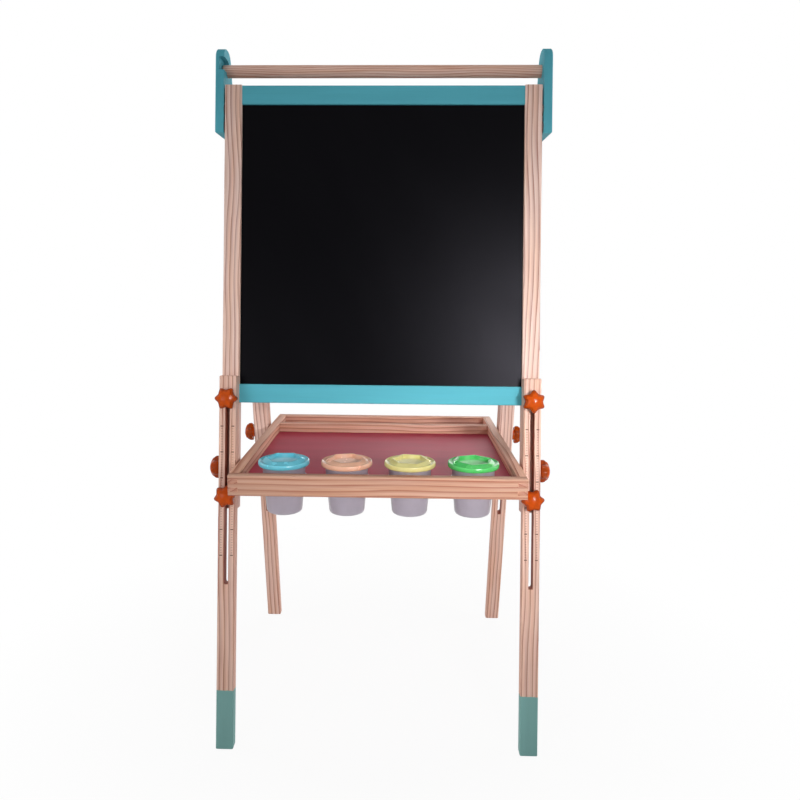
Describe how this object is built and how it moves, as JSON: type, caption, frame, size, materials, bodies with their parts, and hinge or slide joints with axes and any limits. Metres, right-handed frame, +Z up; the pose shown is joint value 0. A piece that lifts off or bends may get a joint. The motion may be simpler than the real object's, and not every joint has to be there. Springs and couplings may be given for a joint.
{
  "type": "kids easel",
  "caption": "Folding double-sided children's easel with slotted telescoping legs, star hand knobs, a paper-roll bar and a swinging paint tray that holds lidded cups.",
  "frame": {"origin": "on the floor, midway between the feet in both directions", "axes": "+Z up, -Y towards the chalkboard side with the paint cups, +X to the right seen from that side"},
  "size_m": [0.5562, 0.4738, 1.119],
  "materials": {
    "pine": "satin",
    "turquoise_paint": "satin",
    "chalkboard": "matte",
    "whiteboard": "gloss",
    "tray_panel": "satin",
    "knob_plastic": "gloss",
    "zinc_steel": "satin",
    "black_nylon": "matte",
    "frosted_cup": "frosted",
    "blue_lid": "gloss",
    "peach_lid": "gloss",
    "yellow_lid": "gloss",
    "green_lid": "gloss"
  },
  "bodies": {
    "front_frame": {"front_left_upright": "pine", "front_right_upright": "pine", "front_top_rail": "turquoise_paint", "front_lower_rail": "turquoise_paint", "chalkboard": "chalkboard", "front_rail_fasteners": "zinc_steel", "front_leg_bolts": "zinc_steel", "front_leg_washers": "zinc_steel", "front_tray_spacers": "black_nylon", "left_side_plate": "turquoise_paint", "right_side_plate": "turquoise_paint", "plate_screws": "zinc_steel", "hinge_washers": "black_nylon"},
    "rear_frame": {"rear_left_upright": "pine", "rear_right_upright": "pine", "rear_top_rail": "turquoise_paint", "rear_lower_rail": "turquoise_paint", "whiteboard": "whiteboard", "rear_rail_fasteners": "zinc_steel", "rear_leg_bolts": "zinc_steel", "rear_leg_washers": "zinc_steel", "rear_tray_spacers": "black_nylon", "pivot_bolts": "zinc_steel"},
    "tray": {"tray_front_rail": "pine", "tray_back_rail": "pine", "tray_left_rail": "pine", "tray_right_rail": "pine", "tray_divider": "pine", "tray_panel": "tray_panel"},
    "paper_roll_bar": {"paper_roll_bar": "pine"},
    "front_left_leg": {"front_left_leg": "pine"},
    "front_left_upper_knob": {"front_left_upper_knob": "knob_plastic"},
    "front_left_lower_knob": {"front_left_lower_knob": "knob_plastic"},
    "front_left_tray_knob": {"front_left_tray_knob": "knob_plastic", "front_left_tray_stud": "zinc_steel"},
    "front_right_leg": {"front_right_leg": "pine"},
    "front_right_upper_knob": {"front_right_upper_knob": "knob_plastic"},
    "front_right_lower_knob": {"front_right_lower_knob": "knob_plastic"},
    "front_right_tray_knob": {"front_right_tray_knob": "knob_plastic", "front_right_tray_stud": "zinc_steel"},
    "rear_left_leg": {"rear_left_leg": "pine"},
    "rear_left_upper_knob": {"rear_left_upper_knob": "knob_plastic"},
    "rear_left_lower_knob": {"rear_left_lower_knob": "knob_plastic"},
    "rear_left_tray_knob": {"rear_left_tray_knob": "knob_plastic", "rear_left_tray_stud": "zinc_steel"},
    "rear_right_leg": {"rear_right_leg": "pine"},
    "rear_right_upper_knob": {"rear_right_upper_knob": "knob_plastic"},
    "rear_right_lower_knob": {"rear_right_lower_knob": "knob_plastic"},
    "rear_right_tray_knob": {"rear_right_tray_knob": "knob_plastic", "rear_right_tray_stud": "zinc_steel"},
    "blue_cup": {"blue_cup": "frosted_cup"},
    "blue_lid": {"blue_lid": "blue_lid"},
    "peach_cup": {"peach_cup": "frosted_cup"},
    "peach_lid": {"peach_lid": "peach_lid"},
    "yellow_cup": {"yellow_cup": "frosted_cup"},
    "yellow_lid": {"yellow_lid": "yellow_lid"},
    "green_cup": {"green_cup": "frosted_cup"},
    "green_lid": {"green_lid": "green_lid"}
  },
  "joints": [
    {"name": "rear_frame_fold", "type": "hinge", "parent": "front_frame", "child": "rear_frame", "pos_m": [0, 0.03112, 1.01114], "axis": [-1, 0, 0], "range_deg": [0, 20]},
    {"name": "tray_swing", "type": "hinge", "parent": "front_frame", "child": "tray", "pos_m": [0, -0.13167, 0.44093], "axis": [-1, 0, 0], "range_deg": [0, 100]},
    {"name": "roll_bar_spin", "type": "hinge", "parent": "front_frame", "child": "paper_roll_bar", "pos_m": [0, 0, 1.086], "axis": [1, 0, 0], "continuous": true},
    {"name": "front_left_leg_slide", "type": "slide", "parent": "front_frame", "child": "front_left_leg", "axis": [0, 0.1736, 0.9848], "range_m": [0, 0.139]},
    {"name": "front_left_upper_knob_turn", "type": "hinge", "parent": "front_frame", "child": "front_left_upper_knob", "pos_m": [-0.244, -0.14041, 0.55722], "axis": [0, -0.9848, 0.1736], "continuous": true},
    {"name": "front_left_lower_knob_turn", "type": "hinge", "parent": "front_frame", "child": "front_left_lower_knob", "pos_m": [-0.244, -0.1675, 0.40359], "axis": [0, -0.9848, 0.1736], "continuous": true},
    {"name": "front_left_tray_knob_turn", "type": "hinge", "parent": "front_frame", "child": "front_left_tray_knob", "pos_m": [-0.258, -0.13167, 0.44093], "axis": [-1, 0, 0], "continuous": true},
    {"name": "front_right_leg_slide", "type": "slide", "parent": "front_frame", "child": "front_right_leg", "axis": [0, 0.1736, 0.9848], "range_m": [0, 0.139]},
    {"name": "front_right_upper_knob_turn", "type": "hinge", "parent": "front_frame", "child": "front_right_upper_knob", "pos_m": [0.244, -0.14041, 0.55722], "axis": [0, -0.9848, 0.1736], "continuous": true},
    {"name": "front_right_lower_knob_turn", "type": "hinge", "parent": "front_frame", "child": "front_right_lower_knob", "pos_m": [0.244, -0.1675, 0.40359], "axis": [0, -0.9848, 0.1736], "continuous": true},
    {"name": "front_right_tray_knob_turn", "type": "hinge", "parent": "front_frame", "child": "front_right_tray_knob", "pos_m": [0.258, -0.13167, 0.44093], "axis": [1, 0, 0], "continuous": true},
    {"name": "rear_left_leg_slide", "type": "slide", "parent": "rear_frame", "child": "rear_left_leg", "axis": [0, -0.1736, 0.9848], "range_m": [0, 0.139]},
    {"name": "rear_left_upper_knob_turn", "type": "hinge", "parent": "rear_frame", "child": "rear_left_upper_knob", "pos_m": [-0.244, 0.14041, 0.55722], "axis": [0, 0.9848, 0.1736], "continuous": true},
    {"name": "rear_left_lower_knob_turn", "type": "hinge", "parent": "rear_frame", "child": "rear_left_lower_knob", "pos_m": [-0.244, 0.1675, 0.40359], "axis": [0, 0.9848, 0.1736], "continuous": true},
    {"name": "rear_left_tray_knob_turn", "type": "hinge", "parent": "rear_frame", "child": "rear_left_tray_knob", "pos_m": [-0.258, 0.13167, 0.44093], "axis": [-1, 0, 0], "continuous": true},
    {"name": "rear_right_leg_slide", "type": "slide", "parent": "rear_frame", "child": "rear_right_leg", "axis": [0, -0.1736, 0.9848], "range_m": [0, 0.139]},
    {"name": "rear_right_upper_knob_turn", "type": "hinge", "parent": "rear_frame", "child": "rear_right_upper_knob", "pos_m": [0.244, 0.14041, 0.55722], "axis": [0, 0.9848, 0.1736], "continuous": true},
    {"name": "rear_right_lower_knob_turn", "type": "hinge", "parent": "rear_frame", "child": "rear_right_lower_knob", "pos_m": [0.244, 0.1675, 0.40359], "axis": [0, 0.9848, 0.1736], "continuous": true},
    {"name": "rear_right_tray_knob_turn", "type": "hinge", "parent": "rear_frame", "child": "rear_right_tray_knob", "pos_m": [0.258, 0.13167, 0.44093], "axis": [1, 0, 0], "continuous": true},
    {"name": "blue_cup_lift", "type": "slide", "parent": "tray", "child": "blue_cup", "axis": [0, 0, 1], "range_m": [0, 0.1]},
    {"name": "blue_lid_lift", "type": "slide", "parent": "blue_cup", "child": "blue_lid", "axis": [0, 0, 1], "range_m": [0, 0.03]},
    {"name": "peach_cup_lift", "type": "slide", "parent": "tray", "child": "peach_cup", "axis": [0, 0, 1], "range_m": [0, 0.1]},
    {"name": "peach_lid_lift", "type": "slide", "parent": "peach_cup", "child": "peach_lid", "axis": [0, 0, 1], "range_m": [0, 0.03]},
    {"name": "yellow_cup_lift", "type": "slide", "parent": "tray", "child": "yellow_cup", "axis": [0, 0, 1], "range_m": [0, 0.1]},
    {"name": "yellow_lid_lift", "type": "slide", "parent": "yellow_cup", "child": "yellow_lid", "axis": [0, 0, 1], "range_m": [0, 0.03]},
    {"name": "green_cup_lift", "type": "slide", "parent": "tray", "child": "green_cup", "axis": [0, 0, 1], "range_m": [0, 0.1]},
    {"name": "green_lid_lift", "type": "slide", "parent": "green_cup", "child": "green_lid", "axis": [0, 0, 1], "range_m": [0, 0.03]}
  ]
}
